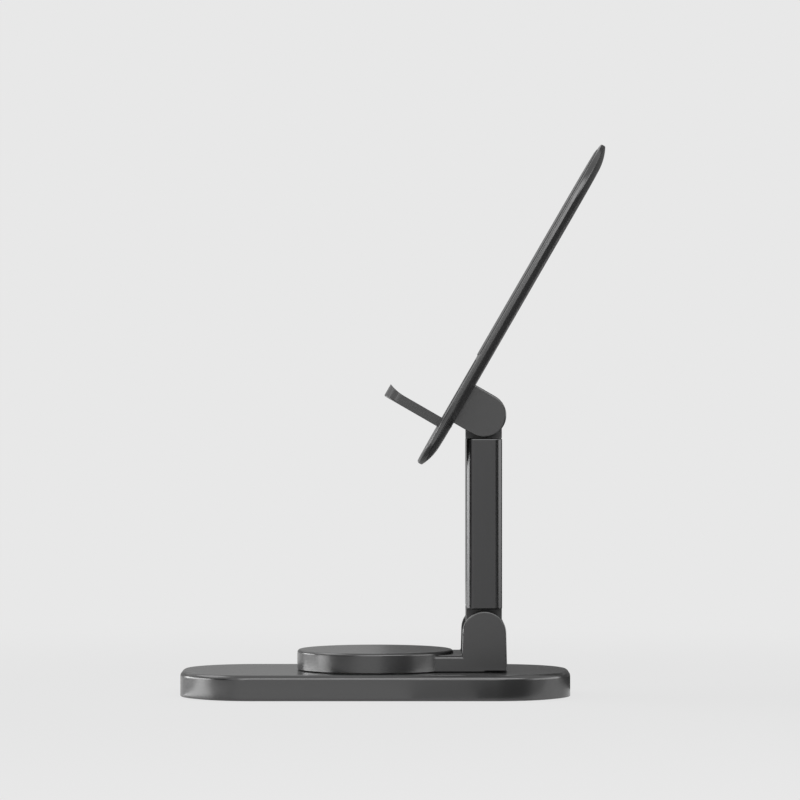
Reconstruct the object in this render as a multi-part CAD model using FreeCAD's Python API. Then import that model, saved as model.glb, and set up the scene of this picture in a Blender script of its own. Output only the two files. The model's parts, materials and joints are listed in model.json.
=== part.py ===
"""A foldable phone stand: weighted base, turning disc, folding arm, leaning plate and flip-out ledge.

Millimetres. The origin is the middle of the foot face on the desk, +Z is up, and +X points to
the rear, so the phone faces -X. Both hinges turn about lines parallel to Y.
"""

import math
import os

import FreeCAD
import Part

V = FreeCAD.Vector
X_DIR = V(1, 0, 0)
Y_DIR = V(0, 1, 0)
Z_DIR = V(0, 0, 1)

# Base
BASE_LENGTH = 130.8
BASE_WIDTH = 62.0
BASE_CORNER = 25.0
BASE_TOP = 8.7
BASE_TOP_EDGE = 1.7
BASE_FOOT_EDGE = 0.25
BASE_WALL = 2.2
BASE_ROOF = 2.3
FOOT_PROUD = 0.3
FOOT_THICK = 0.9
COVER_THICK = 1.2
BALLAST_THICK = 3.4
BALLAST_INSET = 1.0
BALLAST_BOSS_ROOM = 1.0
BALLAST_SCREW_ROOM = 0.5
COVER_SCREW_END = 20.0
COVER_SCREW_SIDE = 11.0
COVER_SCREW_BODY = 2.4
COVER_SCREW_HEAD = 4.6
COVER_SCREW_LENGTH = 5.0
COVER_BOSS = 6.4
KEY_WIDTH_SHARE = 0.36
KEY_DEPTH_SHARE = 0.6

# Turning joint in the base
DISC_DIAMETER = 52.5
DISC_TOP = 15.6
DISC_TOP_EDGE = 1.0
DISC_GAP = 0.4
SPIGOT_DIAMETER = 12.0
BUSH_WALL = 1.5
SWIVEL_BOSS_DIAMETER = 24.0
SWIVEL_BOSS_DROP = 0.7
SPRING_SPACE = 0.75
SPRING_THICK = 0.35
SPRING_MARGIN = 0.6
SPRING_LEAST_WIDTH = 2.0
WASHER_DIAMETER = 20.0
WASHER_THICK = 0.9
SWIVEL_SCREW_BODY = 4.0
SWIVEL_SCREW_HEAD = 7.6
SWIVEL_SCREW_HEAD_HEIGHT = 1.2
SWIVEL_SCREW_LENGTH = 8.0
SWIVEL_SCREW_EDGE = 0.35
SWIVEL_KEY_WIDTH_SHARE = 0.4
SWIVEL_KEY_DEPTH_SHARE = 0.7
GLIDE_RADIUS = 20.0
GLIDE_WIDTH = 3.0
GLIDE_THICK = 0.85
GLIDE_EDGE = 0.2

# Bar and lower hinge block on the turning disc
BLOCK_WIDTH = 34.0
BAR_TOP = 14.4
BAR_EDGE = 1.2
BLOCK_ROOT = 0.6
HINGE_X = 36.43
LOWER_AXIS_Z = 21.85
LOWER_EAR_RADIUS = 7.25
BLOCK_DRAFT = 1.5
EAR_EDGE = 0.5

# Arm
AXIS_SPACING = 72.55
ARM_THICK = 11.85
ARM_CORNER = 2.3
ARM_WALL = 1.8
ARM_INNER_CORNER_SHARE = 0.8
ARM_END_EDGE = 0.5
LOWER_NECK_GAP = 0.6
UPPER_NECK_GAP = 0.45
NECK_WIDTH = 22.0
PLUG_LENGTH = 14.0
PLUG_TIP_BEVEL = 0.6

# Hinge pins and their small parts
PIN_DIAMETER = 6.0
PIN_SKIN = 2.0
SLEEVE_WALL = 1.0
THRUST_DIAMETER = 10.6
THRUST_THICK = 0.4
CAP_DIAMETER = 8.0
CAP_EDGE = 0.2
PIN_END_BEVEL = 0.5

# Upper hinge head and plate
LEAN = 30.0
HEAD_RADIUS = 7.28
HEAD_REACH = 7.63
PLATE_LENGTH = 123.1
PLATE_WIDTH = 61.0
PLATE_CORNER = 23.0
PLATE_THICK = 3.85
PLATE_FRONT_WALL = 1.7
PLATE_BACK_CURVE = 18.0
PLATE_FRONT_EDGE = 0.6
PLATE_BACK_EDGE = 0.6
LOWER_TIP_TO_AXIS = 24.85
PAD_THICK = 1.0
PAD_PROUD = 0.35
PAD_INSET = 2.2
PAD_LOW_CORNER = 4.0
HEAD_SCREW_BODY = 2.5
HEAD_SCREW_HEAD = 4.8
HEAD_SCREW_LENGTH = 9.0
HEAD_SCREW_X = 4.2

# Ledge
LEDGE_PIVOT_UP = 16.0
LEDGE_PIVOT_DEPTH = 2.45
LEDGE_REACH = 20.75
LEDGE_WIDTH = 22.0
LEDGE_THICK = 3.35
LEDGE_DROP = 0.61
LEDGE_LIP = 1.2
LEDGE_LIP_RUN = 6.0
LEDGE_BARREL = 1.6
LEDGE_TIP_CORNER = 5.0
LEDGE_UNDER_EDGE = 0.5
LEDGE_PIN = 2.0
LEDGE_PIN_BITE = 4.0
LEDGE_PIN_TIP_SHARE = 0.7
LEDGE_PIN_COLLAR = 1.5
LEDGE_SLOT_CORNER = 0.8
GRIP_THICK = 0.7
GRIP_MARGIN = 2.0
GRIP_CORNER = 1.5

# Clearances
RUNNING = 0.05
PRESS = 0.02
SIDE_PLAY = 0.1
FIT = 0.15
SLOT_PLAY = 0.3
STOP_GAP = 0.25
KNUCKLE_GAP = 0.4

# How far a cut or a joined piece runs past the face it meets, and how near two heights count as one
OVERRUN = 1.0
TOUCH = 1e-4

# Heights and lines that follow from the values above
UPPER_AXIS_Z = LOWER_AXIS_Z + AXIS_SPACING
SHELL_BOTTOM = FOOT_PROUD
COVER_SCREW_X = BASE_LENGTH / 2 - COVER_SCREW_END
COVER_SCREW_Y = BASE_WIDTH / 2 - COVER_SCREW_SIDE
COVER_BOTTOM = FOOT_THICK
COVER_TOP = COVER_BOTTOM + COVER_THICK
ROOF_UNDER = BASE_TOP - BASE_ROOF
DISC_BOTTOM = BASE_TOP + DISC_GAP
BOSS_BOTTOM = ROOF_UNDER - SWIVEL_BOSS_DROP
SPIGOT_BOTTOM = BOSS_BOTTOM - SPRING_SPACE
WASHER_BOTTOM = SPIGOT_BOTTOM - WASHER_THICK
EAR_OUTER = BLOCK_WIDTH / 2
EAR_INNER = NECK_WIDTH / 2 + THRUST_THICK + SIDE_PLAY
NECK_RADIUS = ARM_THICK / 2
ARM_BOTTOM = LOWER_AXIS_Z + LOWER_EAR_RADIUS + LOWER_NECK_GAP
ARM_TOP = UPPER_AXIS_Z - HEAD_RADIUS - UPPER_NECK_GAP
PLATE_BACK = HEAD_REACH
PLATE_FRONT = HEAD_REACH + PLATE_THICK
PLATE_CENTRE = PLATE_LENGTH / 2 - LOWER_TIP_TO_AXIS
PIVOT_X = LEDGE_PIVOT_UP - LOWER_TIP_TO_AXIS
PIVOT_Z = PLATE_FRONT - LEDGE_PIVOT_DEPTH
LEDGE_LENGTH = LEDGE_REACH + LEDGE_PIVOT_DEPTH
LEDGE_UNDER = -LEDGE_DROP - LEDGE_THICK / 2
LEDGE_OVER = LEDGE_UNDER + LEDGE_THICK
SLOT_LOW = PIVOT_X + LEDGE_UNDER - FIT
SLOT_HIGH = PIVOT_X + LEDGE_LENGTH + SLOT_PLAY
SLOT_HALF = LEDGE_WIDTH / 2 + SLOT_PLAY
PAD_LOW = SLOT_HIGH + PAD_INSET


def box(x0, x1, y0, y1, z0, z1):
    return Part.makeBox(x1 - x0, y1 - y0, z1 - z0, V(x0, y0, z0))


def tall_cylinder(diameter, z0, z1, x=0.0, y=0.0):
    return Part.makeCylinder(diameter / 2, z1 - z0, V(x, y, z0), Z_DIR)


def cross_cylinder(diameter, y0, y1, x=0.0, z=0.0):
    """A round bar or bore parallel to the hinge lines."""
    return Part.makeCylinder(diameter / 2, y1 - y0, V(x, y0, z), Y_DIR)


def ring(outer, inner, z0, z1):
    return tall_cylinder(outer, z0, z1).cut(tall_cylinder(inner, z0, z1))


def rounded_slab(length, width, corner, z0, z1, x=0.0):
    """A flat slab whose plan is a rectangle with round corners."""
    slab = box(x - length / 2, x + length / 2, -width / 2, width / 2, z0, z1)
    uprights = [e for e in slab.Edges if abs(e.Vertexes[0].Z - e.Vertexes[1].Z) > (z1 - z0) / 2]
    return slab.makeFillet(corner, uprights)


def edges_at_height(shape, z):
    return [e for e in shape.Edges if abs(e.BoundBox.ZMin - z) < TOUCH and abs(e.BoundBox.ZMax - z) < TOUCH]


def edges_at_side(shape, y):
    return [e for e in shape.Edges if abs(e.BoundBox.YMin - y) < TOUCH and abs(e.BoundBox.YMax - y) < TOUCH]


def extrude_side_outline(wire, half_width):
    """A side outline drawn in the XZ plane, drawn out evenly to both sides."""
    face = Part.Face(wire)
    face.translate(V(0, -half_width, 0))
    return face.extrude(V(0, 2 * half_width, 0))


def bullet_outline(radius, root_half, root, flip):
    """Two straight sides closed by a round end about the origin; flip puts the root above."""
    sign = 1 if flip else -1
    left_root = V(-root_half, 0, sign * root)
    right_root = V(root_half, 0, sign * root)
    left = V(-radius, 0, 0)
    right = V(radius, 0, 0)
    crown = V(0, 0, -sign * radius)
    sides = [Part.makeLine(left_root, left), Part.makeLine(right, right_root)]
    dome = Part.Arc(left, crown, right).toShape()
    return Part.Wire([sides[0], dome, sides[1], Part.makeLine(right_root, left_root)])


def countersunk_screw(body, head, length):
    """A screw with its flat head at height 0 and its tip below, head height a quarter of its width."""
    head_height = head / 4
    half = body / 2
    points = [
        V(0, 0, 0),
        V(head / 2, 0, 0),
        V(half, 0, -head_height),
        V(half, 0, -length + half / 2),
        V(half / 2, 0, -length),
        V(0, 0, -length),
        V(0, 0, 0),
    ]
    screw = Part.Face(Part.makePolygon(points)).revolve(V(0, 0, 0), Z_DIR, 360)
    return screw.cut(socket(head * KEY_WIDTH_SHARE, head_height * KEY_DEPTH_SHARE))


def socket(across, depth):
    """The six-sided key hole of a screw head at height 0."""
    corners = []
    for step in range(7):
        turn = math.radians(60 * step)
        corners.append(V(across / 2 * math.cos(turn), across / 2 * math.sin(turn), -depth))
    return Part.Face(Part.makePolygon(corners)).extrude(V(0, 0, 2 * depth))


def countersunk_hole(body, head, length):
    """The space a countersunk screw takes, opened above its head."""
    head_height = head / 4
    hole = Part.makeCylinder(body / 2, length, V(0, 0, -length), Z_DIR)
    sink = Part.makeCone(body / 2, head / 2, head_height, V(0, 0, -head_height), Z_DIR)
    mouth = Part.makeCylinder(head / 2, head, V(0, 0, 0), Z_DIR)
    return hole.fuse([sink, mouth])


def beveled_pin(diameter, y0, y1, bevel):
    pin = cross_cylinder(diameter, y0, y1)
    return pin.makeChamfer(bevel, edges_at_side(pin, y0) + edges_at_side(pin, y1))


def moved(shape, x, y, z):
    copy = shape.copy()
    copy.translate(V(x, y, z))
    return copy


def turned_over(shape):
    copy = shape.copy()
    copy.rotate(V(0, 0, 0), X_DIR, 180)
    return copy


def leaned(shape):
    """From the plate's own frame, lying flat with the hinge line at its origin, to the upright stand."""
    copy = shape.copy()
    copy.rotate(V(0, 0, 0), Y_DIR, LEAN - 90)
    copy.translate(V(HINGE_X, 0, UPPER_AXIS_Z))
    return copy


def cover_screw_places():
    places = []
    for x in (-COVER_SCREW_X, COVER_SCREW_X):
        for y in (-COVER_SCREW_Y, COVER_SCREW_Y):
            places.append((x, y))
    return places


def make_base_shell():
    shell = rounded_slab(BASE_LENGTH, BASE_WIDTH, BASE_CORNER, SHELL_BOTTOM, BASE_TOP)
    shell = shell.makeFillet(BASE_TOP_EDGE, edges_at_height(shell, BASE_TOP))
    shell = shell.makeFillet(BASE_FOOT_EDGE, edges_at_height(shell, SHELL_BOTTOM))
    hollow = inner_slab(0.0, SHELL_BOTTOM - OVERRUN, ROOF_UNDER)
    shell = shell.cut(hollow)
    bosses = [tall_cylinder(SWIVEL_BOSS_DIAMETER, BOSS_BOTTOM, BASE_TOP - BASE_ROOF / 2)]
    for x, y in cover_screw_places():
        bosses.append(tall_cylinder(COVER_BOSS, COVER_TOP, BASE_TOP - BASE_ROOF / 2, x, y))
    shell = shell.fuse(bosses)
    bush_outer = SPIGOT_DIAMETER + 2 * RUNNING + 2 * BUSH_WALL
    bore = tall_cylinder(bush_outer + 2 * PRESS, 0, BASE_TOP + OVERRUN)
    groove_floor = DISC_BOTTOM - RUNNING - GLIDE_THICK
    groove_outer = 2 * GLIDE_RADIUS + GLIDE_WIDTH + FIT
    groove_inner = 2 * GLIDE_RADIUS - GLIDE_WIDTH - FIT
    groove = ring(groove_outer, groove_inner, groove_floor, BASE_TOP + OVERRUN)
    cuts = [bore, groove]
    for x, y in cover_screw_places():
        depth = COVER_BOTTOM + COVER_SCREW_LENGTH
        cuts.append(tall_cylinder(COVER_SCREW_BODY + 2 * PRESS, COVER_TOP - OVERRUN, depth + PRESS, x, y))
    return shell.cut(Part.Compound(cuts)).removeSplitter()


def inner_slab(inset, z0, z1):
    """The inside plan of the base shell, taken in by an inset."""
    taken = 2 * BASE_WALL + 2 * inset
    corner = BASE_CORNER - BASE_WALL - inset
    return rounded_slab(BASE_LENGTH - taken, BASE_WIDTH - taken, corner, z0, z1)


def make_base_cover():
    cover = inner_slab(FIT, COVER_BOTTOM, COVER_TOP)
    hole = turned_over(countersunk_hole(COVER_SCREW_BODY + 2 * PRESS, COVER_SCREW_HEAD, 2 * COVER_THICK))
    holes = [moved(hole, x, y, COVER_BOTTOM) for x, y in cover_screw_places()]
    return cover.cut(Part.Compound(holes))


def make_cover_screws():
    screw = turned_over(countersunk_screw(COVER_SCREW_BODY, COVER_SCREW_HEAD - 2 * PRESS, COVER_SCREW_LENGTH))
    return Part.Compound([moved(screw, x, y, COVER_BOTTOM) for x, y in cover_screw_places()])


def make_foot_pad():
    pad = inner_slab(FIT, 0, FOOT_THICK)
    return pad.makeFillet(FOOT_PROUD / 2, edges_at_height(pad, 0))


def make_ballast():
    plate = inner_slab(BALLAST_INSET, COVER_TOP, COVER_TOP + BALLAST_THICK)
    cuts = [tall_cylinder(SWIVEL_BOSS_DIAMETER + 2 * BALLAST_BOSS_ROOM, 0, BASE_TOP)]
    for x, y in cover_screw_places():
        cuts.append(tall_cylinder(COVER_BOSS + 2 * BALLAST_SCREW_ROOM, 0, BASE_TOP, x, y))
    return plate.cut(Part.Compound(cuts))


def make_swivel_bush():
    inner = SPIGOT_DIAMETER + 2 * RUNNING
    return ring(inner + 2 * BUSH_WALL, inner, BOSS_BOTTOM, BASE_TOP)


def make_glide_ring():
    top = DISC_BOTTOM - RUNNING
    glide = ring(2 * GLIDE_RADIUS + GLIDE_WIDTH, 2 * GLIDE_RADIUS - GLIDE_WIDTH, top - GLIDE_THICK, top)
    return glide.makeFillet(GLIDE_EDGE, edges_at_height(glide, top))


def make_turntable():
    disc = tall_cylinder(DISC_DIAMETER, DISC_BOTTOM, DISC_TOP)
    disc = disc.makeFillet(DISC_TOP_EDGE, edges_at_height(disc, DISC_TOP))
    spigot = tall_cylinder(SPIGOT_DIAMETER, SPIGOT_BOTTOM, DISC_BOTTOM + OVERRUN)
    rise = LOWER_AXIS_Z - DISC_BOTTOM
    root_half = LOWER_EAR_RADIUS + rise * math.tan(math.radians(BLOCK_DRAFT))
    block = extrude_side_outline(bullet_outline(LOWER_EAR_RADIUS, root_half, rise, False), EAR_OUTER)
    block = moved(block, HINGE_X, 0, LOWER_AXIS_Z)
    block = block.makeFillet(EAR_EDGE, edges_at_side(block, -EAR_OUTER) + edges_at_side(block, EAR_OUTER))
    bar = box(0, HINGE_X, -EAR_OUTER, EAR_OUTER, DISC_BOTTOM, BAR_TOP)
    along = [e for e in edges_at_height(bar, BAR_TOP) if e.BoundBox.XLength > TOUCH]
    bar = bar.makeFillet(BAR_EDGE, along)
    front = HINGE_X - LOWER_EAR_RADIUS - (LOWER_AXIS_Z - BAR_TOP) * math.tan(math.radians(BLOCK_DRAFT))
    root_side = EAR_OUTER - BAR_EDGE
    root = box(front - BLOCK_ROOT, HINGE_X, -root_side, root_side, DISC_BOTTOM, BAR_TOP + BLOCK_ROOT)
    hollow = cross_cylinder(2 * BLOCK_ROOT, -EAR_OUTER, EAR_OUTER, front - BLOCK_ROOT, BAR_TOP + BLOCK_ROOT)
    body = disc.fuse([spigot, block, bar, root.cut(hollow)])
    gap = box(
        HINGE_X - 2 * LOWER_EAR_RADIUS,
        HINGE_X + NECK_RADIUS + STOP_GAP,
        -EAR_INNER,
        EAR_INNER,
        BAR_TOP,
        LOWER_AXIS_Z + 2 * LOWER_EAR_RADIUS,
    )
    clear_disc = tall_cylinder(DISC_DIAMETER, 0, DISC_TOP + OVERRUN)
    cuts = [gap.cut(clear_disc)]
    pin_end = EAR_OUTER - PIN_SKIN
    bore = cross_cylinder(PIN_DIAMETER + 2 * PRESS, -pin_end, pin_end, HINGE_X, LOWER_AXIS_Z)
    cap_end = EAR_OUTER + OVERRUN
    cap_bore = cross_cylinder(CAP_DIAMETER + 2 * PRESS, pin_end, cap_end, HINGE_X, LOWER_AXIS_Z)
    thread_top = WASHER_BOTTOM + SWIVEL_SCREW_LENGTH + PRESS
    thread = tall_cylinder(SWIVEL_SCREW_BODY + 2 * PRESS, 0, thread_top)
    cuts.extend([bore, cap_bore, thread])
    return body.cut(Part.Compound(cuts)).removeSplitter()


def make_disc_spring():
    """A coned spring washer that takes the play out of the turning joint."""
    outer = WASHER_DIAMETER / 2 - SPRING_MARGIN
    inner = min(SPIGOT_DIAMETER / 2 + SPRING_MARGIN, outer - SPRING_LEAST_WIDTH)
    top = BOSS_BOTTOM - SIDE_PLAY
    points = [
        V(inner, 0, top - SPRING_THICK),
        V(inner, 0, top),
        V(outer, 0, SPIGOT_BOTTOM + SPRING_THICK),
        V(outer, 0, SPIGOT_BOTTOM),
        V(inner, 0, top - SPRING_THICK),
    ]
    return Part.Face(Part.makePolygon(points)).revolve(V(0, 0, 0), Z_DIR, 360)


def make_retaining_washer():
    return ring(WASHER_DIAMETER, SWIVEL_SCREW_BODY + 2 * PRESS, WASHER_BOTTOM, SPIGOT_BOTTOM)


def make_swivel_screw():
    under = WASHER_BOTTOM - SWIVEL_SCREW_HEAD_HEIGHT
    head = tall_cylinder(SWIVEL_SCREW_HEAD, under, WASHER_BOTTOM)
    head = head.makeFillet(SWIVEL_SCREW_EDGE, edges_at_height(head, under))
    stem = tall_cylinder(SWIVEL_SCREW_BODY, WASHER_BOTTOM, WASHER_BOTTOM + SWIVEL_SCREW_LENGTH)
    key_width = SWIVEL_SCREW_HEAD * SWIVEL_KEY_WIDTH_SHARE
    key_depth = SWIVEL_SCREW_HEAD_HEIGHT * SWIVEL_KEY_DEPTH_SHARE
    key = turned_over(socket(key_width, key_depth))
    return head.fuse(stem).removeSplitter().cut(moved(key, 0, 0, under))


def make_hinge_pin():
    """The pin on its own line; both hinges use it."""
    end = EAR_OUTER - PIN_SKIN - SIDE_PLAY
    return beveled_pin(PIN_DIAMETER, -end, end, PIN_END_BEVEL)


def make_pin_plug():
    """The flush cap over the pin's mouth in the far ear."""
    plug = cross_cylinder(CAP_DIAMETER, EAR_OUTER - PIN_SKIN, EAR_OUTER)
    return plug.makeChamfer(CAP_EDGE, edges_at_side(plug, EAR_OUTER))


def make_thrust_washers():
    washers = []
    for y in (-EAR_INNER, EAR_INNER - THRUST_THICK):
        disc = cross_cylinder(THRUST_DIAMETER, y, y + THRUST_THICK)
        washers.append(disc.cut(cross_cylinder(PIN_DIAMETER + 2 * RUNNING, y, y + THRUST_THICK)))
    return Part.Compound(washers)


def make_sleeve():
    inner = PIN_DIAMETER + 2 * RUNNING
    sleeve = cross_cylinder(inner + 2 * SLEEVE_WALL, -NECK_WIDTH / 2, NECK_WIDTH / 2)
    return sleeve.cut(cross_cylinder(inner, -NECK_WIDTH / 2, NECK_WIDTH / 2))


def arm_slab(inset, z0, z1):
    corner = ARM_CORNER - inset * ARM_INNER_CORNER_SHARE
    return rounded_slab(ARM_THICK - 2 * inset, BLOCK_WIDTH - 2 * inset, corner, z0, z1, HINGE_X)


def make_arm_tube():
    arm = arm_slab(0, ARM_BOTTOM, ARM_TOP)
    arm = arm.makeFillet(ARM_END_EDGE, edges_at_height(arm, ARM_BOTTOM) + edges_at_height(arm, ARM_TOP))
    return arm.cut(arm_slab(ARM_WALL, ARM_BOTTOM - OVERRUN, ARM_TOP + OVERRUN))


def make_knuckle(axis_z, end_z, tip_z):
    """A plug in the arm's end, with the narrower neck and round eye that stand out of it."""
    plug = arm_slab(ARM_WALL + PRESS, min(end_z, tip_z), max(end_z, tip_z))
    plug = plug.makeChamfer(PLUG_TIP_BEVEL, edges_at_height(plug, tip_z))
    half = NECK_WIDTH / 2
    neck = box(
        HINGE_X - NECK_RADIUS, HINGE_X + NECK_RADIUS, -half, half, min(axis_z, end_z), max(axis_z, end_z)
    )
    eye = cross_cylinder(2 * NECK_RADIUS, -half, half, HINGE_X, axis_z)
    bore = PIN_DIAMETER + 2 * RUNNING + 2 * SLEEVE_WALL + 2 * PRESS
    knuckle = neck.fuse([eye, plug]).removeSplitter()
    return knuckle.cut(cross_cylinder(bore, -half - OVERRUN, half + OVERRUN, HINGE_X, axis_z))


def make_hinge_head():
    head = extrude_side_outline(bullet_outline(HEAD_RADIUS, HEAD_RADIUS, HEAD_REACH, True), EAR_OUTER)
    outer = edges_at_side(head, -EAR_OUTER) + edges_at_side(head, EAR_OUTER)
    head = head.makeFillet(EAR_EDGE, [e for e in outer if e.BoundBox.ZMin < HEAD_REACH - TOUCH])
    reach = 2 * HEAD_RADIUS
    gap = box(-reach, reach, -EAR_INNER, EAR_INNER, -reach, NECK_RADIUS + KNUCKLE_GAP)
    pin_end = EAR_OUTER - PIN_SKIN
    bore = cross_cylinder(PIN_DIAMETER + 2 * RUNNING, -pin_end, pin_end)
    cap_bore = cross_cylinder(CAP_DIAMETER + 2 * PRESS, pin_end, EAR_OUTER + OVERRUN)
    cuts = [gap, bore, cap_bore]
    for x, y in head_screw_places():
        tip = PLATE_FRONT - HEAD_SCREW_LENGTH - PRESS
        cuts.append(tall_cylinder(HEAD_SCREW_BODY + 2 * PRESS, tip, PLATE_FRONT, x, y))
    return head.cut(Part.Compound(cuts))


def head_screw_places():
    middle = (EAR_INNER + EAR_OUTER) / 2
    places = []
    for x in (-HEAD_SCREW_X, HEAD_SCREW_X):
        for y in (-middle, middle):
            places.append((x, y))
    return places


def on_circle(centre, radius, angle):
    """The point of a side-view circle that lies at an angle from straight down, turning outward."""
    return V(centre.x + radius * math.sin(angle), 0, centre.z - radius * math.cos(angle))


def edge_profile(inner):
    """Half the plate's section, from an inner line out to its rim: flat front, upright wall, curved back."""
    drop = PLATE_THICK - PLATE_FRONT_WALL
    run = math.sqrt(PLATE_BACK_CURVE**2 - (PLATE_BACK_CURVE - drop) ** 2)
    back_centre = V(-run, 0, PLATE_BACK + PLATE_BACK_CURVE)
    inner_curve = PLATE_BACK_CURVE - PLATE_BACK_EDGE
    edge_fall = math.sqrt(inner_curve**2 - (run - PLATE_BACK_EDGE) ** 2)
    edge_centre = V(-PLATE_BACK_EDGE, 0, back_centre.z - edge_fall)
    lean = math.atan2(run - PLATE_BACK_EDGE, edge_fall)
    a = V(inner, 0, PLATE_BACK)
    b = V(-run, 0, PLATE_BACK)
    c = on_circle(back_centre, PLATE_BACK_CURVE, lean / 2)
    d = on_circle(back_centre, PLATE_BACK_CURVE, lean)
    bend_back = on_circle(edge_centre, PLATE_BACK_EDGE, (lean + math.pi / 2) / 2)
    wall = V(0, 0, edge_centre.z)
    e = V(0, 0, PLATE_FRONT - PLATE_FRONT_EDGE)
    f = V(-PLATE_FRONT_EDGE, 0, PLATE_FRONT)
    g = V(inner, 0, PLATE_FRONT)
    bend = PLATE_FRONT_EDGE * (1 - math.sqrt(0.5))
    corner = V(-bend, 0, PLATE_FRONT - bend)
    edges = [
        Part.makeLine(a, b),
        Part.Arc(b, c, d).toShape(),
        Part.Arc(d, bend_back, wall).toShape(),
        Part.makeLine(wall, e),
        Part.Arc(e, corner, f).toShape(),
        Part.makeLine(f, g),
        Part.makeLine(g, a),
    ]
    return Part.Face(Part.Wire(edges))


def make_pebble():
    """The plate's blank: one section carried along the sides and turned round the corners."""
    along = PLATE_LENGTH / 2 - PLATE_CORNER
    across = PLATE_WIDTH / 2 - PLATE_CORNER
    pieces = [box(-along, along, -across, across, PLATE_BACK, PLATE_FRONT)]
    rim = edge_profile(-PLATE_CORNER)
    for quarter in range(4):
        centre_x = along if quarter in (0, 3) else -along
        centre_y = across if quarter in (0, 1) else -across
        sector = moved(rim, PLATE_CORNER, 0, 0).revolve(V(0, 0, 0), Z_DIR, 90)
        sector.rotate(V(0, 0, 0), Z_DIR, 90 * quarter)
        pieces.append(moved(sector, centre_x, centre_y, 0))
        reach = PLATE_LENGTH / 2 if quarter in (0, 2) else PLATE_WIDTH / 2
        half_side = across if quarter in (0, 2) else along
        strip = moved(rim, reach, -half_side, 0).extrude(V(0, 2 * half_side, 0))
        strip.rotate(V(0, 0, 0), Z_DIR, 90 * quarter)
        pieces.append(strip)
    blank = pieces[0].fuse(pieces[1:]).removeSplitter()
    return moved(blank, PLATE_CENTRE, 0, 0)


def pad_slab(inset, z0, z1):
    """The plan of the front pad: the plate's own round top end, cut straight above the ledge slot."""
    taken = 2 * PAD_INSET + 2 * inset
    slab = rounded_slab(
        PLATE_LENGTH - taken, PLATE_WIDTH - taken, PLATE_CORNER - PAD_INSET - inset, z0, z1, PLATE_CENTRE
    )
    low = PAD_LOW + inset
    slab = slab.cut(box(-PLATE_LENGTH, low, -PLATE_WIDTH, PLATE_WIDTH, z0 - OVERRUN, z1 + OVERRUN))
    low_edges = [e for e in slab.Edges if e.BoundBox.XMax < low + TOUCH]
    return slab.makeFillet(PAD_LOW_CORNER, [e for e in low_edges if e.BoundBox.ZLength > (z1 - z0) / 2])


def make_plate():
    plate = make_pebble()
    slot = rounded_slab(
        SLOT_HIGH - SLOT_LOW,
        2 * SLOT_HALF,
        LEDGE_SLOT_CORNER,
        PLATE_BACK - OVERRUN,
        PLATE_FRONT + OVERRUN,
        (SLOT_HIGH + SLOT_LOW) / 2,
    )
    recess = pad_slab(0, PLATE_FRONT + PAD_PROUD - PAD_THICK, PLATE_FRONT + OVERRUN)
    bite = LEDGE_PIN + 2 * PRESS
    pin_hole = cross_cylinder(bite, -SLOT_HALF - LEDGE_PIN_BITE, SLOT_HALF + LEDGE_PIN_BITE, PIVOT_X, PIVOT_Z)
    cuts = [slot, recess, pin_hole]
    hole = countersunk_hole(HEAD_SCREW_BODY + 2 * PRESS, HEAD_SCREW_HEAD, HEAD_SCREW_LENGTH)
    for x, y in head_screw_places():
        cuts.append(moved(hole, x, y, PLATE_FRONT))
    for cut in cuts:
        plate = plate.cut(cut)
    return plate


def make_front_pad():
    pad = pad_slab(PRESS, PLATE_FRONT + PAD_PROUD - PAD_THICK, PLATE_FRONT + PAD_PROUD)
    return pad.makeFillet(PAD_PROUD / 2, edges_at_height(pad, PLATE_FRONT + PAD_PROUD))


def make_head_screws():
    screw = countersunk_screw(HEAD_SCREW_BODY, HEAD_SCREW_HEAD - 2 * PRESS, HEAD_SCREW_LENGTH)
    return Part.Compound([moved(screw, x, y, PLATE_FRONT) for x, y in head_screw_places()])


def make_ledge_pin():
    """A sprung bar: a thick middle with a thinner tip in each side of the slot."""
    half = SLOT_HALF - FIT
    bar = cross_cylinder(LEDGE_PIN, -half, half)
    tip_end = SLOT_HALF + LEDGE_PIN_BITE - FIT
    tip = cross_cylinder(LEDGE_PIN * LEDGE_PIN_TIP_SHARE, -tip_end, tip_end)
    collar_end = SLOT_HALF + LEDGE_PIN_COLLAR
    collar = cross_cylinder(LEDGE_PIN, -collar_end, collar_end)
    return moved(bar.fuse([tip, collar]).removeSplitter(), PIVOT_X, 0, PIVOT_Z)


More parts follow.
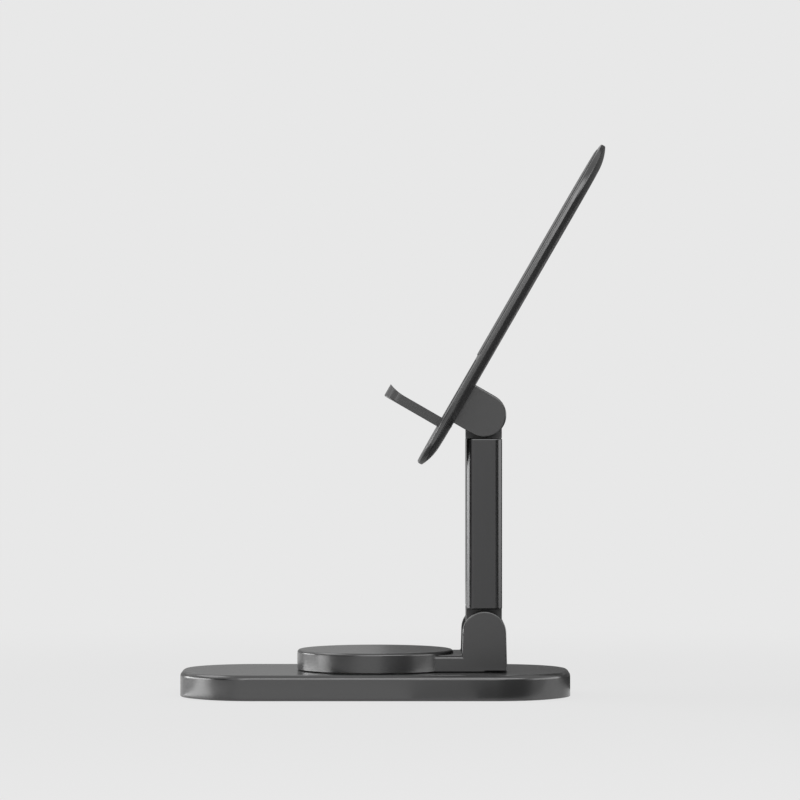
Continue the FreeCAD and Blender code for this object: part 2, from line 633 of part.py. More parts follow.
def make_ledge_blank():
    """The ledge drawn out from the plate: barrel, flat tongue and a tip that sweeps up to a low lip."""
    start = LEDGE_LENGTH - LEDGE_LIP_RUN
    curve = (LEDGE_LIP_RUN**2 + LEDGE_LIP**2) / (2 * LEDGE_LIP)
    half_run = LEDGE_LIP_RUN / 2
    sag = curve - math.sqrt(curve**2 - half_run**2)
    a = V(LEDGE_UNDER, 0, 0)
    b = V(LEDGE_OVER, 0, 0)
    c = V(LEDGE_OVER, 0, start)
    middle = V(LEDGE_OVER + sag, 0, start + half_run)
    d = V(LEDGE_OVER + LEDGE_LIP, 0, LEDGE_LENGTH)
    e = V(LEDGE_UNDER, 0, LEDGE_LENGTH)
    edges = [
        Part.makeLine(a, b),
        Part.makeLine(b, c),
        Part.Arc(c, middle, d).toShape(),
        Part.makeLine(d, e),
        Part.makeLine(e, a),
    ]
    tongue = extrude_side_outline(Part.Wire(edges), LEDGE_WIDTH / 2)
    end_edges = [e for e in tongue.Edges if e.BoundBox.ZMin > LEDGE_LENGTH - TOUCH]
    tongue = tongue.makeFillet(LEDGE_TIP_CORNER, [e for e in end_edges if e.BoundBox.XLength > TOUCH])
    under_edges = [e for e in tongue.Edges if e.BoundBox.XMax < LEDGE_UNDER + TOUCH]
    tongue = tongue.makeFillet(LEDGE_UNDER_EDGE, [e for e in under_edges if e.BoundBox.ZMax > start])
    barrel = cross_cylinder(2 * LEDGE_BARREL, -LEDGE_WIDTH / 2, LEDGE_WIDTH / 2)
    return tongue.fuse(barrel).removeSplitter()


def grip_slab(inset, over):
    half = LEDGE_WIDTH / 2 - GRIP_MARGIN - inset
    low = LEDGE_PIVOT_DEPTH + GRIP_MARGIN + inset
    high = LEDGE_LENGTH - LEDGE_LIP_RUN - inset
    grip = box(LEDGE_OVER - GRIP_THICK, LEDGE_OVER + over, -half, half, low, high)
    return grip.makeFillet(GRIP_CORNER, [e for e in grip.Edges if e.BoundBox.XLength > GRIP_THICK / 2])


def make_ledge():
    ledge = make_ledge_blank()
    bore = cross_cylinder(LEDGE_PIN + 2 * RUNNING, -LEDGE_WIDTH, LEDGE_WIDTH)
    ledge = ledge.cut(bore).cut(grip_slab(0, OVERRUN))
    return moved(ledge, PIVOT_X, 0, PIVOT_Z)


def make_ledge_grip():
    return moved(grip_slab(PRESS, 0), PIVOT_X, 0, PIVOT_Z)


def at_lower_hinge(shape):
    return moved(shape, HINGE_X, 0, LOWER_AXIS_Z)


def at_upper_hinge(shape):
    return moved(shape, HINGE_X, 0, UPPER_AXIS_Z)


PIECES = {
    "base_shell": make_base_shell(),
    "base_cover": make_base_cover(),
    "base_cover_screws": make_cover_screws(),
    "foot_pad": make_foot_pad(),
    "ballast_plate": make_ballast(),
    "swivel_bush": make_swivel_bush(),
    "glide_ring": make_glide_ring(),
    "turntable": make_turntable(),
    "disc_spring": make_disc_spring(),
    "retaining_washer": make_retaining_washer(),
    "swivel_screw": make_swivel_screw(),
    "lower_hinge_pin": at_lower_hinge(make_hinge_pin()),
    "lower_pin_plug": at_lower_hinge(make_pin_plug()),
    "lower_thrust_washers": at_lower_hinge(make_thrust_washers()),
    "arm_tube": make_arm_tube(),
    "lower_knuckle": make_knuckle(LOWER_AXIS_Z, ARM_BOTTOM, ARM_BOTTOM + PLUG_LENGTH),
    "upper_knuckle": make_knuckle(UPPER_AXIS_Z, ARM_TOP, ARM_TOP - PLUG_LENGTH),
    "lower_sleeve": at_lower_hinge(make_sleeve()),
    "upper_sleeve": at_upper_hinge(make_sleeve()),
    "upper_hinge_pin": at_upper_hinge(make_hinge_pin()),
    "hinge_head": leaned(make_hinge_head()),
    "upper_pin_plug": leaned(make_pin_plug()),
    "upper_thrust_washers": leaned(make_thrust_washers()),
    "plate": leaned(make_plate()),
    "front_pad": leaned(make_front_pad()),
    "head_screws": leaned(make_head_screws()),
    "ledge_pin": leaned(make_ledge_pin()),
    "ledge": leaned(make_ledge()),
    "ledge_grip": leaned(make_ledge_grip()),
}

os.makedirs("parts", exist_ok=True)
for name, shape in PIECES.items():
    shape.exportStep("parts/" + name + ".step")
    print(name, "solids", len(shape.Solids), "valid", shape.isValid(), "volume", round(shape.Volume, 2))
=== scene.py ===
# %% [markdown]
# # A foldable phone stand, dressed for its portrait
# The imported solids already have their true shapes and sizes, in metres and in one shared frame.
# So this lesson is about finishes and light: what makes moulded plastic, anodised metal and
# silicone look different when all of them are dark grey.

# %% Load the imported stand
import json
import math

import bpy
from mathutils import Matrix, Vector


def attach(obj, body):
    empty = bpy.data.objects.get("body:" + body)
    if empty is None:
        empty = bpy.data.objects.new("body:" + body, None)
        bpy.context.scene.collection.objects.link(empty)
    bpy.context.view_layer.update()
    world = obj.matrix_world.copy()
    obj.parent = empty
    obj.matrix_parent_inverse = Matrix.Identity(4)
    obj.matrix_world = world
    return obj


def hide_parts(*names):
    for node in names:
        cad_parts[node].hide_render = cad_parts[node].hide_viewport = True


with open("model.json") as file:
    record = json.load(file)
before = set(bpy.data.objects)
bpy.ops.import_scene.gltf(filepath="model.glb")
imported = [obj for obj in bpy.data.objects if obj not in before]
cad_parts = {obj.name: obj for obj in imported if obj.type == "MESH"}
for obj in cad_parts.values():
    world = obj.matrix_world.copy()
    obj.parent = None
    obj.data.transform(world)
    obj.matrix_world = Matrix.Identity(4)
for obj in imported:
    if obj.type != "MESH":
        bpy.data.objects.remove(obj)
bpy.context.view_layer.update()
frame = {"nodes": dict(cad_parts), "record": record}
nodes = frame["nodes"]

# %% [markdown]
# The portrait is taken square to the side, from far away with a long lens, level, and aimed so
# that the picture's middle lies a little in front of the upper hinge. A lens in pixels is easier
# to reason about than one in millimetres: a thing of one metre at the stand's middle plane is
# as many pixels wide as the scale says, and the distance follows from the two.

# %% Camera
PICTURE = 800
SENSOR = 36.0
FOCAL_PIXELS = 4200.0
PIXELS_PER_METRE = 2968.0
STAND_MIDDLE_PIXEL = 375.35
DESK_PIXEL = 695.2

camera_data = bpy.data.cameras.new("portrait_camera")
camera_data.sensor_width = SENSOR
camera_data.lens = FOCAL_PIXELS * SENSOR / PICTURE
camera = bpy.data.objects.new("portrait_camera", camera_data)
camera.location = (
    (PICTURE / 2 - STAND_MIDDLE_PIXEL) / PIXELS_PER_METRE,
    -FOCAL_PIXELS / PIXELS_PER_METRE,
    (DESK_PIXEL - PICTURE / 2) / PIXELS_PER_METRE,
)
camera.rotation_euler = (math.pi / 2, 0, 0)
bpy.context.scene.collection.objects.link(camera)
bpy.context.scene.camera = camera
bpy.context.scene.view_settings.view_transform = "Standard"
print("camera at", [round(v, 4) for v in camera.location], "lens", camera_data.lens)

# %% [markdown]
# Finishes are node trees, and node trees are arithmetic. A small class wraps one socket, so that
# masks and grains can be written as expressions. Anything that isn't plain arithmetic comes from
# its one method for other nodes: the node's settings first, then what goes into its sockets.


# %% Sockets that can be added and multiplied
class Signal:
    """A socket of a node tree that behaves like a number."""

    def __init__(self, tree, socket=None):
        self.tree = tree
        self.socket = socket

    def node(self, kind, settings=None, inputs=None, output=0):
        made = self.tree.nodes.new(kind)
        for name, value in (settings or {}).items():
            setattr(made, name, value)
        for key, value in (inputs or {}).items():
            if isinstance(value, Signal):
                self.tree.links.new(value.socket, made.inputs[key])
            else:
                made.inputs[key].default_value = value
        return Signal(self.tree, made.outputs[output] if made.outputs else None)

    def math(self, operation, first, second):
        return self.node("ShaderNodeMath", {"operation": operation}, {0: first, 1: second})

    def __add__(self, other):
        return self.math("ADD", self, other)

    def __radd__(self, other):
        return self.math("ADD", other, self)

    def __sub__(self, other):
        return self.math("SUBTRACT", self, other)

    def __rsub__(self, other):
        return self.math("SUBTRACT", other, self)

    def __mul__(self, other):
        return self.math("MULTIPLY", self, other)

    def __rmul__(self, other):
        return self.math("MULTIPLY", other, self)

    def or_more(self, other):
        return self.math("MAXIMUM", self, other)


print("sockets can be written as sums and products")

# %% [markdown]
# Every tree starts empty and ends in its output node. A few small recipes come back in most
# finishes: places on the piece, a cloud of noise, a mix of two colours, a colour that wanders, a
# roughness that wanders, and a bump. The places are the object's own coordinates, so a grain
# stays on its piece when the stand folds.


# %% Recipes for places, noise and bumps
CLOUD_ROUGHNESS = 0.55


def empty_tree(owner):
    owner.use_nodes = True
    owner.node_tree.nodes.clear()
    return Signal(owner.node_tree)


def close(start, shader):
    start.node("ShaderNodeOutputMaterial", {}, {"Surface": shader})


def even(count):
    """The same stretch along X, Y and Z."""
    return (count, count, count)


def places(start, stretch):
    """Object coordinates in metres, multiplied by a stretch along X, Y and Z."""
    own = start.node("ShaderNodeTexCoord", output="Object")
    return start.node("ShaderNodeVectorMath", {"operation": "MULTIPLY"}, {0: own, 1: stretch})


def cloud(start, stretch, detail):
    """Noise from 0 to 1 whose grains measure about one over the stretch."""
    inputs = {
        "Vector": places(start, stretch),
        "Scale": 1.0,
        "Detail": detail,
        "Roughness": CLOUD_ROUGHNESS,
    }
    return start.node("ShaderNodeTexNoise", {"noise_dimensions": "3D"}, inputs)


def bump(start, height, depth, strength):
    inputs = {"Height": height, "Distance": depth, "Strength": strength}
    return start.node("ShaderNodeBump", {}, inputs)


print("recipes: places, cloud, bump")

# %% [markdown]
# No moulding or metal is one colour or one gloss all over. The next recipes take a mask from 0 to
# 1 and let a colour or a roughness wander about its mean. Colours go through a Mix node, whose
# sockets for colours have to be picked by number, because its other sockets share their names.

# %% Recipes for colour and roughness
MIX_FACTOR, MIX_FIRST, MIX_SECOND, MIX_RESULT = 0, 6, 7, 2


def between(start, mask, first, second):
    inputs = {MIX_FACTOR: mask, MIX_FIRST: first, MIX_SECOND: second}
    return start.node("ShaderNodeMix", {"data_type": "RGBA"}, inputs, output=MIX_RESULT)


def shade(colour, factor):
    """A colour made darker or lighter, with its alpha."""
    return tuple(part * factor for part in colour) + (1.0,)


def mottled(start, mask, colour, span):
    """A colour that is darker and lighter by a span where the mask says so."""
    return between(start, mask, shade(colour, 1.0 - span), shade(colour, 1.0 + span))


def wandering(mean, *parts):
    """A mean to which shares of some masks are added, about as often below it as above."""
    level = mean - sum(share for share, mask in parts) / 2
    for share, mask in parts:
        level = level + share * mask
    return level


print("recipes: between, mottled, wandering")

# %% [markdown]
# The shells are injection moulded in a dark grey plastic. The mould was spark eroded, which
# leaves a grain of about a fifth of a millimetre: too small to see as a pattern, but it spreads
# the highlights. Bump gives the grain, and slow clouds in colour and roughness keep large faces
# from looking like flat paint.

# %% Moulded plastic
SLOW_CLOUDS = even(45.0)
SPARK_GRAINS = even(5200.0)
FLECKS = even(900.0)
SLOW_SHARE, FLECK_SHARE = 0.7, 0.3
PLASTIC_SPAN = 0.1
SLOW_WANDER, GRAIN_WANDER = 0.04, 0.02
PLASTIC_IOR = 1.5


def moulded_plastic(name, colour, roughness, grain_depth, gloss):
    material = bpy.data.materials.new(name)
    start = empty_tree(material)
    slow = cloud(start, SLOW_CLOUDS, detail=2.0)
    grain = cloud(start, SPARK_GRAINS, detail=1.0)
    fleck = cloud(start, FLECKS, detail=2.0)
    inputs = {
        "Base Color": mottled(start, SLOW_SHARE * slow + FLECK_SHARE * fleck, colour, PLASTIC_SPAN),
        "Roughness": wandering(roughness, (SLOW_WANDER, slow), (GRAIN_WANDER, grain)),
        "Normal": bump(start, grain, depth=grain_depth, strength=0.35),
        "IOR": PLASTIC_IOR,
        "Specular IOR Level": gloss,
    }
    close(start, start.node("ShaderNodeBsdfPrincipled", {}, inputs))
    return material


SHELL_GREY = (0.026, 0.026, 0.0264)
NECK_DARK = (0.042, 0.042, 0.0425)
COVER_BLACK = (0.014, 0.014, 0.0145)
shell_finish = moulded_plastic(
    "satin_shell_grey", SHELL_GREY, roughness=0.22, grain_depth=6.0e-6, gloss=1.0
)
neck_finish = moulded_plastic(
    "matt_neck_dark", NECK_DARK, roughness=0.4, grain_depth=2.5e-5, gloss=0.8
)
cover_finish = moulded_plastic(
    "matt_cover_black", COVER_BLACK, roughness=0.55, grain_depth=3.0e-5, gloss=0.4
)
print("moulded plastics:", shell_finish.name, neck_finish.name, cover_finish.name)

# %% [markdown]
# The arm is a drawn aluminium tube, bead blasted and dyed to the shells' grey. Metal has no
# diffuse colour of its own: its grey is the colour of its reflections. The die leaves faint
# lines along the tube, so one noise is stretched along Z and the other is the blasted grain.

# %% Anodised aluminium
DIE_LINES = (2600.0, 2600.0, 22.0)
BLASTED_GRAINS = even(4200.0)
LINE_SHARE, BLAST_SHARE = 0.4, 0.6
DYE_SPAN = 0.03
LINE_WANDER, BLAST_WANDER = 0.02, 0.02


def anodised(name, colour, roughness):
    material = bpy.data.materials.new(name)
    start = empty_tree(material)
    drawn = cloud(start, DIE_LINES, detail=2.0)
    blasted = cloud(start, BLASTED_GRAINS, detail=1.0)
    skin = LINE_SHARE * drawn + BLAST_SHARE * blasted
    inputs = {
        "Base Color": mottled(start, drawn, colour, DYE_SPAN),
        "Metallic": 1.0,
        "Roughness": wandering(roughness, (LINE_WANDER, drawn), (BLAST_WANDER, blasted)),
        "Normal": bump(start, skin, depth=6.0e-6, strength=0.2),
    }
    close(start, start.node("ShaderNodeBsdfPrincipled", {}, inputs))
    return material


ARM_GREY = (0.085, 0.085, 0.086)
arm_finish = anodised("anodised_arm_grey", ARM_GREY, roughness=0.26)
print("anodised:", arm_finish.name)

# %% [markdown]
# Silicone is soft, matt and a little dusty looking, because its surface scatters light at
# grazing angles. A high roughness, a little sheen and a fine skin do that.

# %% Silicone
SKIN_GRAINS = even(2600.0)
DUST_CLOUDS = even(70.0)
DUST_SPAN = 0.15
SKIN_WANDER = 0.12


def silicone(name, colour, roughness):
    material = bpy.data.materials.new(name)
    start = empty_tree(material)
    skin = cloud(start, SKIN_GRAINS, detail=3.0)
    dust = cloud(start, DUST_CLOUDS, detail=2.0)
    inputs = {
        "Base Color": mottled(start, dust, colour, DUST_SPAN),
        "Roughness": wandering(roughness, (SKIN_WANDER, skin)),
        "Normal": bump(start, skin, depth=3.0e-5, strength=0.4),
        "Specular IOR Level": 0.6,
        "Sheen Weight": 0.08,
        "Sheen Roughness": 0.5,
    }
    close(start, start.node("ShaderNodeBsdfPrincipled", {}, inputs))
    return material


SILICONE_BLACK = (0.03, 0.03, 0.0305)
silicone_finish = silicone("silicone_black", SILICONE_BLACK, roughness=0.56)
print("silicone:", silicone_finish.name)

# %% [markdown]
# Pins, screws and washers are bare metal. Ground parts carry lines along the grinding direction,
# rolled plate has a coarser, cloudy skin, and sintered bronze is grainy all round.

# %% Bare metals
STAIN_CLOUDS = even(120.0)
GROUND_LINES = (7000.0, 500.0, 7000.0)
ROLLED_LINES = (300.0, 2500.0, 2500.0)
SINTERED_GRAINS = even(2500.0)
GROUND_WANDER = 0.12


def bare_metal(name, colour, roughness, lines, cloudiness):
    material = bpy.data.materials.new(name)
    start = empty_tree(material)
    ground = cloud(start, lines, detail=3.0)
    stain = cloud(start, STAIN_CLOUDS, detail=4.0)
    inputs = {
        "Base Color": between(start, stain, shade(colour, 1.0 - cloudiness), shade(colour, 1.0)),
        "Metallic": 1.0,
        "Roughness": wandering(roughness, (GROUND_WANDER, ground)),
        "Normal": bump(start, ground, depth=8.0e-6, strength=0.25),
    }
    close(start, start.node("ShaderNodeBsdfPrincipled", {}, inputs))
    return material


STEEL = (0.56, 0.56, 0.57)
BALLAST_STEEL = (0.36, 0.36, 0.365)
BRONZE = (0.52, 0.34, 0.15)
steel_finish = bare_metal(
    "ground_steel", STEEL, roughness=0.3, lines=GROUND_LINES, cloudiness=0.08
)
ballast_finish = bare_metal(
    "rolled_steel", BALLAST_STEEL, roughness=0.5, lines=ROLLED_LINES, cloudiness=0.25
)
bronze_finish = bare_metal(
    "sintered_bronze", BRONZE, roughness=0.42, lines=SINTERED_GRAINS, cloudiness=0.2
)
print("bare metals:", steel_finish.name, ballast_finish.name, bronze_finish.name)

# %% [markdown]
# Plain bearings and thrust washers are turned from a milky engineering plastic that slides well
# without grease. With it every finish is there, and each solid takes the one that the record
# names for it.

# %% Bearing plastic and who wears what
BEARING_MILK = (0.72, 0.71, 0.67)
bearing_finish = moulded_plastic(
    "bearing_milk", BEARING_MILK, roughness=0.42, grain_depth=1.0e-5, gloss=0.5
)
FINISHES = {
    "shell_grey": shell_finish,
    "arm_grey": arm_finish,
    "neck_dark": neck_finish,
    "cover_black": cover_finish,
    "silicone": silicone_finish,
    "steel": steel_finish,
    "ballast_steel": ballast_finish,
    "bearing_plastic": bearing_finish,
    "bronze": bronze_finish,
}
for row in frame["record"]["subparts"]:
    piece = nodes[row["node"]]
    piece.data.materials.clear()
    piece.data.materials.append(FINISHES[row["material_slot"]])

# %% [markdown]
# The three silicone pieces are compression moulded: a soft edge all round, a back that sits in a
# recess, and a face that stands up very slightly in the middle. A bevel on the plain solid would
# give the edge but not the raised face, so each mesh is a stack of rounded outlines instead.
# This cell measures a solid and draws one such outline.

# %% Outlines of the moulded pads
ARC_STEPS = 12
OUTLINE_POINTS = 4 * (ARC_STEPS + 1)
LEAST_CORNER = 0.0002


def measured(piece, direction):
    """Lowest and highest place of a solid's points along a direction."""
    reach = [direction.dot(vertex.co) for vertex in piece.data.vertices]
    return min(reach), max(reach)


def rounded_outline(along, across, low_corner, high_corner, inset):
    """Points of a rectangle with two corner radii, drawn in by an inset."""
    low, high = along[0] + inset, along[1] - inset
    left, right = across[0] + inset, across[1] - inset
    small = max(low_corner - inset, LEAST_CORNER)
    large = max(high_corner - inset, LEAST_CORNER)
    corner_middles = [
        (high - large, right - large, large),
        (low + small, right - small, small),
        (low + small, left + small, small),
        (high - large, left + large, large),
    ]
    points = []
    for quarter, (end, side, radius) in enumerate(corner_middles):
        for step in range(ARC_STEPS + 1):
            angle = math.pi / 2 * (quarter + step / ARC_STEPS)
            points.append((end + radius * math.cos(angle), side + radius * math.sin(angle)))
    return points


print("an outline has", OUTLINE_POINTS, "points")

# %% [markdown]
# The outlines are stacked from the back of the pad to its face: straight up the side, in over a
# quarter circle at the edge, and then on towards the middle while the face rises by its crown.
# The size comes from the solid that the pad stands for, measured along the directions that the
# pad lies in, so the pad fills the same recess.

# %% One moulded pad
ROLL_STEPS = 6
CROWN_SHARES = (0.1, 0.25, 0.5, 0.75, 1.0)
MIDDLE_SHARE = 0.45


def pad_levels(depth, middle, roll, crown):
    """Inset and height of each outline, from the back to the middle of the face."""
    shoulder = depth[1] - crown
    levels = [(0.0, depth[0]), (0.0, shoulder - roll)]
    for step in range(1, ROLL_STEPS + 1):
        angle = math.pi / 2 * step / ROLL_STEPS
        levels.append((roll * (1 - math.cos(angle)), shoulder - roll * (1 - math.sin(angle))))
    for share in CROWN_SHARES:
        levels.append((roll + share * (middle - roll), depth[1] - crown * (1 - share) ** 2))
    return levels


def stacked_faces(count):
    """Faces of the walls between the outlines, of the back and of the face's middle."""
    faces = []
    for ring in range(count - 1):
        for k in range(OUTLINE_POINTS):
            a = ring * OUTLINE_POINTS + k
            b = ring * OUTLINE_POINTS + (k + 1) % OUTLINE_POINTS
            faces.append((a, b, b + OUTLINE_POINTS, a + OUTLINE_POINTS))
    faces.append(tuple(reversed(range(OUTLINE_POINTS))))
    faces.append(tuple(range((count - 1) * OUTLINE_POINTS, count * OUTLINE_POINTS)))
    return faces


def moulded_pad(name, node, body, along, out, corners, roll, crown):
    across = out.cross(along)
    length, width, depth = (measured(nodes[node], way) for way in (along, across, out))
    middle = MIDDLE_SHARE * min(length[1] - length[0], width[1] - width[0])
    levels = pad_levels(depth, middle, roll, crown)
    points = [
        along * x + across * y + out * height
        for inset, height in levels
        for x, y in rounded_outline(length, width, *corners, inset)
    ]
    mesh = bpy.data.meshes.new(name)
    mesh.from_pydata(points, [], stacked_faces(len(levels)))
    mesh.shade_smooth()
    mesh.materials.append(silicone_finish)
    pad = bpy.data.objects.new(name, mesh)
    bpy.context.scene.collection.objects.link(pad)
    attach(pad, body)
    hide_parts(node)
    return pad


print("a pad has", 2 + ROLL_STEPS + len(CROWN_SHARES), "outlines")

# %% [markdown]
# Three pads are moulded this way. The phone's pad lies in the leaning plate, with round upper
# corners and tighter lower ones. The ledge's strip lies at right angles to it, and the foot faces
# the desk. The plate's own directions come from the record's mount for the phone.

# %% Phone pad, ledge strip and foot
plate_out = Vector(next(m["axis"] for m in frame["record"]["mounts"] if m["name"] == "phone_face"))
plate_up = Vector((plate_out.z, 0.0, -plate_out.x))
desk_way = Vector((1.0, 0.0, 0.0))
down = Vector((0.0, 0.0, -1.0))
PHONE_PAD_CORNERS = (0.004, 0.0208)
STRIP_CORNERS = (0.0015, 0.0015)
FOOT_CORNERS = (0.02265, 0.02265)
pads = [
    moulded_pad(
        "phone_pad", "front_pad", "plate", along=plate_up, out=plate_out,
        corners=PHONE_PAD_CORNERS, roll=0.0002, crown=0.00003,
    ),
    moulded_pad(
        "ledge_strip", "ledge_grip", "ledge", along=plate_out, out=plate_up,
        corners=STRIP_CORNERS, roll=0.0001, crown=0.00002,
    ),
    moulded_pad(
        "foot", "foot_pad", "base", along=desk_way, out=down,
        corners=FOOT_CORNERS, roll=0.00015, crown=0.00002,
    ),
]
print("moulded pads:", [(pad.name, len(pad.data.polygons)) for pad in pads])

# %% [markdown]
# The studio is a pale room. What the camera and the reflections see of it is one even grey,
# while the light that falls on surfaces is weaker, so that the lamps can model the forms. The
# Light Path node tells the two apart.

# %% Pale room
ROOM_GREY = (0.807, 0.807, 0.807, 1.0)
ROOM_LIGHT = 0.42


def seen_directly(start):
    """1 for rays of the camera, of reflections and of glass, and 0 for the light on surfaces."""
    camera_ray = start.node("ShaderNodeLightPath", output="Is Camera Ray")
    glossy_ray = start.node("ShaderNodeLightPath", output="Is Glossy Ray")
    clear_ray = start.node("ShaderNodeLightPath", output="Is Transmission Ray")
    return camera_ray.or_more(glossy_ray).or_more(clear_ray)


world = bpy.data.worlds.new("pale_room")
start = empty_tree(world)
level = ROOM_LIGHT + (1.0 - ROOM_LIGHT) * seen_directly(start)
room = start.node("ShaderNodeBackground", {}, {"Color": ROOM_GREY, "Strength": level})
start.node("ShaderNodeOutputWorld", {}, {"Surface": room})
bpy.context.scene.world = world
print("room light", ROOM_LIGHT)

# %% [markdown]
# The desk is a large disc of the same pale grey. Near the stand a share of its colour is real
# shading, which keeps the soft shadow under the base; further out it fades into the room, so no
# horizon shows.

# %% Pale desk
DESK_RADIUS = 4.0
DESK_SIDES = 96
DESK_SHADED_SHARE = 0.12
SHADE_FROM, SHADE_TO = 0.12, 0.45

desk_mesh = bpy.data.meshes.new("pale_desk")
turns = [math.tau * side / DESK_SIDES for side in range(DESK_SIDES)]
rim = [(DESK_RADIUS * math.cos(turn), DESK_RADIUS * math.sin(turn), 0.0) for turn in turns]
desk_mesh.from_pydata(rim, [], [list(range(DESK_SIDES))])
desk = bpy.data.objects.new("pale_desk", desk_mesh)
bpy.context.scene.collection.objects.link(desk)

desk_finish = bpy.data.materials.new("pale_desk")
start = empty_tree(desk_finish)
own = start.node("ShaderNodeTexCoord", output="Object")
reach = start.node("ShaderNodeVectorMath", {"operation": "LENGTH"}, {0: own}, output="Value")
fade_inputs = {"Value": reach, "From Min": SHADE_FROM, "From Max": SHADE_TO}
far = start.node("ShaderNodeMapRange", {"interpolation_type": "SMOOTHSTEP"}, fade_inputs)
glowing = seen_directly(start) * (1.0 - DESK_SHADED_SHARE * (1.0 - far))
chalk = start.node("ShaderNodeBsdfDiffuse", {}, {"Color": ROOM_GREY})
glow = start.node("ShaderNodeEmission", {}, {"Color": ROOM_GREY, "Strength": 1.0})
close(start, start.node("ShaderNodeMixShader", {}, {0: glowing, 1: chalk, 2: glow}))
desk_mesh.materials.append(desk_finish)
print("desk radius", DESK_RADIUS)

# %% [markdown]
# Soft boxes are area lamps. Each is placed by the direction it comes from, as a photographer
# would say it: so many degrees to the right of the camera, so high above the desk. Its level is
# its brightness, where 1 is white, and the watts follow from its area.

# %% Soft boxes
AIM = Vector((0.01, 0.0, 0.07))


def from_camera_side(turn, height):
    """Direction from the stand: turn in degrees to the camera's right, height above the desk."""
    t, h = math.radians(turn), math.radians(height)
    return Vector((math.sin(t) * math.cos(h), -math.cos(t) * math.cos(h), math.sin(h)))


def soft_box(name, turn, height, distance, wide, tall, level):
    data = bpy.data.lights.new(name, "AREA")
    data.shape = "RECTANGLE"
    data.size, data.size_y = wide, tall
    data.energy = level * math.pi * wide * tall
    lamp = bpy.data.objects.new(name, data)
    direction = from_camera_side(turn, height)
    lamp.location = AIM + direction * distance
    lamp.rotation_euler = direction.to_track_quat("Z", "Y").to_euler()
    lamp.visible_camera = False
    bpy.context.scene.collection.objects.link(lamp)
    return lamp


lamps = [
    soft_box("left_box", turn=-100, height=0, distance=0.8, wide=0.92, tall=0.15, level=5.7),
    soft_box("left_top_box", turn=-100, height=48, distance=0.9, wide=0.7, tall=0.45, level=2.0),
    soft_box("front_low_box", turn=-4, height=15, distance=1.0, wide=0.7, tall=0.24, level=0.8),
    soft_box("front_box", turn=10, height=32, distance=1.2, wide=1.5, tall=0.5, level=2.3),
    soft_box("right_box", turn=85, height=5, distance=0.8, wide=0.85, tall=0.3, level=1.8),
]
print("soft boxes:", [lamp.name for lamp in lamps])

# %% [markdown]
# Cards are what gives satin grey its shape: a photographer holds black board where the
# reflections would be too even, and white board where an edge should catch the light. These
# cards are seen by reflections alone. They give no shadow and no camera meets them, so the stand
# can be looked at from any side. Lamps could not do this, because a lamp can't be black.

# %% One card
CARD_LIFT = 0.0006


def reflected_card(name, corners, level):
    mesh = bpy.data.meshes.new(name)
    mesh.from_pydata(corners, [], [tuple(range(len(corners)))])
    card = bpy.data.objects.new(name, mesh)
    bpy.context.scene.collection.objects.link(card)
    card.visible_camera = False
    card.visible_diffuse = False
    card.visible_transmission = False
    card.visible_shadow = False
    material = bpy.data.materials.new(name)
    start = empty_tree(material)
    close(start, start.node("ShaderNodeEmission", {}, {"Color": (level, level, level, 1.0)}))
    mesh.materials.append(material)
    return card


def standing(turn_from, turn_to, distance, low, high):
    """Corners of a card that stands on edge, between two directions from the stand."""
    first = from_camera_side(turn_from, 0) * distance
    second = from_camera_side(turn_to, 0) * distance
    return [(p.x, p.y, z) for p, z in ((first, low), (second, low), (second, high), (first, high))]


def facing(x_from, x_to, y, low, high):
    """Corners of a card that faces the stand's side."""
    return [(x_from, y, low), (x_to, y, low), (x_to, y, high), (x_from, y, high)]


def lying(x_from, x_to, y_from, y_to):
    """Corners of a card that lies on the desk."""
    z = CARD_LIFT
    return [(x_from, y_from, z), (x_to, y_from, z), (x_to, y_to, z), (x_from, y_to, z)]


print("cards can stand, face the stand or lie", CARD_LIFT, "above the desk")

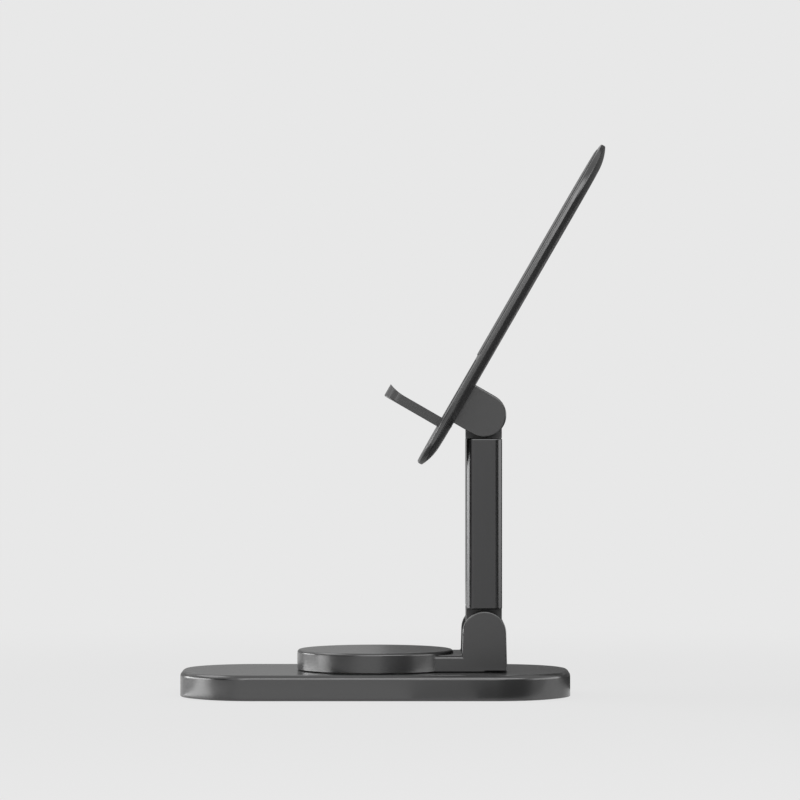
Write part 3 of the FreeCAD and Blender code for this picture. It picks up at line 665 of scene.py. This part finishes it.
# %% [markdown]
# The cards that stand are named for where they are, seen from the camera. The two dark ones to
# the left and right of it give the base's rounded ends their dark bands, those behind darken the
# tops, which the camera sees at a grazing angle, and the high one darkens the plate's tip. The
# small bright card faces the plate's upper rim.

# %% Cards that stand
standing_cards = [
    reflected_card("left_card", standing(-66, -32, distance=0.75, low=0.0, high=0.28), level=0.02),
    reflected_card("front_card", standing(-32, 10, distance=0.9, low=0.0, high=0.18), level=0.72),
    reflected_card("right_card", standing(10, 48, distance=0.7, low=0.0, high=0.22), level=0.02),
    reflected_card("rear_right_card", standing(114, 150, distance=0.8, low=0.0, high=0.27), level=0.12),
    reflected_card("rear_card", standing(150, 180, distance=0.8, low=0.0, high=0.27), level=0.15),
    reflected_card("rear_left_card", standing(180, 230, distance=0.8, low=0.0, high=0.27), level=0.37),
    reflected_card("rear_high_card", standing(118, 172, distance=0.8, low=0.27, high=0.9), level=0.15),
    reflected_card("plate_card", facing(0.03, 0.14, y=-0.28, low=0.157, high=0.27), level=3.6),
]
print("standing cards:", [card.name for card in standing_cards])

# %% [markdown]
# The upright walls of the base and the disc are seen from a little above, so what they mirror is
# the desk close by. The cards that lie there take the place of the pale desk in those walls:
# bright to the left, grey in front, dark to the right and behind.

# %% Cards that lie on the desk
lying_cards = [
    reflected_card("right_desk_card", lying(0.2, 0.7, -0.6, 0.02), level=0.05),
    reflected_card("rear_right_desk_card", lying(0.07, 0.7, 0.02, 0.6), level=0.05),
    reflected_card("front_desk_card", lying(0.034, 0.2, -0.16, -0.036), level=0.02),
    reflected_card("middle_desk_card", lying(0.012, 0.034, -0.16, -0.036), level=0.55),
    reflected_card("near_desk_card", lying(-0.16, 0.012, -0.16, -0.036), level=1.0),
    reflected_card("left_front_desk_card", lying(-0.6, -0.16, -0.5, -0.06), level=0.05),
    reflected_card("left_desk_card", lying(-0.7, -0.068, -0.06, -0.008), level=3.3),
    reflected_card("rear_desk_card", lying(-0.07, 0.07, 0.036, 0.6), level=0.3),
]
print("lying cards:", [card.name for card in lying_cards])
